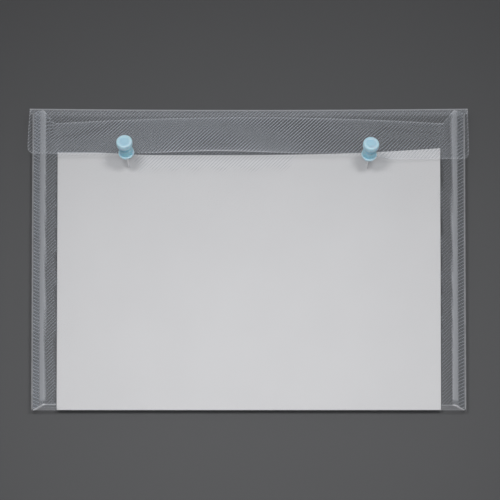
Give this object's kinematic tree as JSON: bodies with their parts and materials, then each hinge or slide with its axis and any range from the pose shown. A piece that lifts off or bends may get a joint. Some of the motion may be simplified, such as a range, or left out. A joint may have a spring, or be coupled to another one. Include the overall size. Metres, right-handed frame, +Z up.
{
  "type": "portfolio case",
  "caption": "Clear ribbed film portfolio case with a fold-over flap, holding a blank landscape sheet and pinned flat to a wall by push pins.",
  "frame": {"origin": "centre of the case's wall face", "axes": "+X to the right along the case's width, +Y into the wall, +Z up; the case stands out from the wall towards -Y"},
  "size_m": [0.3424, 0.0364, 0.2434],
  "materials": {
    "back_panel": "clear film with fine diagonal ribs",
    "front_panel": "clear film with fine diagonal ribs",
    "left_side_fold": "clear film with fine diagonal ribs",
    "right_side_fold": "clear film with fine diagonal ribs",
    "bottom_fold": "clear film with fine diagonal ribs",
    "left_weld": "pressed, slightly milky weld bead",
    "right_weld": "pressed, slightly milky weld bead",
    "insert_sheet": "plain matt white paper",
    "top_spine": "clear film with fine diagonal ribs",
    "flap_panel": "clear film with fine diagonal ribs",
    "left_pin_grip": "satin light blue moulding",
    "left_pin_needle": "bright drawn steel",
    "right_pin_grip": "satin light blue moulding",
    "right_pin_needle": "bright drawn steel"
  },
  "bodies": {
    "case": {"back_panel": "back_panel", "front_panel": "front_panel", "left_side_fold": "left_side_fold", "right_side_fold": "right_side_fold", "bottom_fold": "bottom_fold", "left_weld": "left_weld", "right_weld": "right_weld", "insert_sheet": "insert_sheet"},
    "spine": {"top_spine": "top_spine"},
    "flap": {"flap_panel": "flap_panel"},
    "left_pin": {"left_pin_grip": "left_pin_grip", "left_pin_needle": "left_pin_needle"},
    "right_pin": {"right_pin_grip": "right_pin_grip", "right_pin_needle": "right_pin_needle"}
  },
  "joints": [
    {"name": "spine_crease", "type": "hinge", "parent": "case", "child": "spine", "pos_m": [0, -0.0003, 0.12175], "axis": [-1, 0, 0], "range_deg": [0, 90]},
    {"name": "flap_crease", "type": "hinge", "parent": "spine", "child": "flap", "pos_m": [0, -0.0101, 0.12175], "axis": [-1, 0, 0], "range_deg": [0, 75]},
    {"name": "left_pin_pull", "type": "slide", "parent": "case", "child": "left_pin", "axis": [-0.1083, -0.9502, 0.2924], "range_m": [0, 0.02]},
    {"name": "right_pin_pull", "type": "slide", "parent": "case", "child": "right_pin", "axis": [0.1083, -0.9502, 0.2924], "range_m": [0, 0.02]}
  ]
}
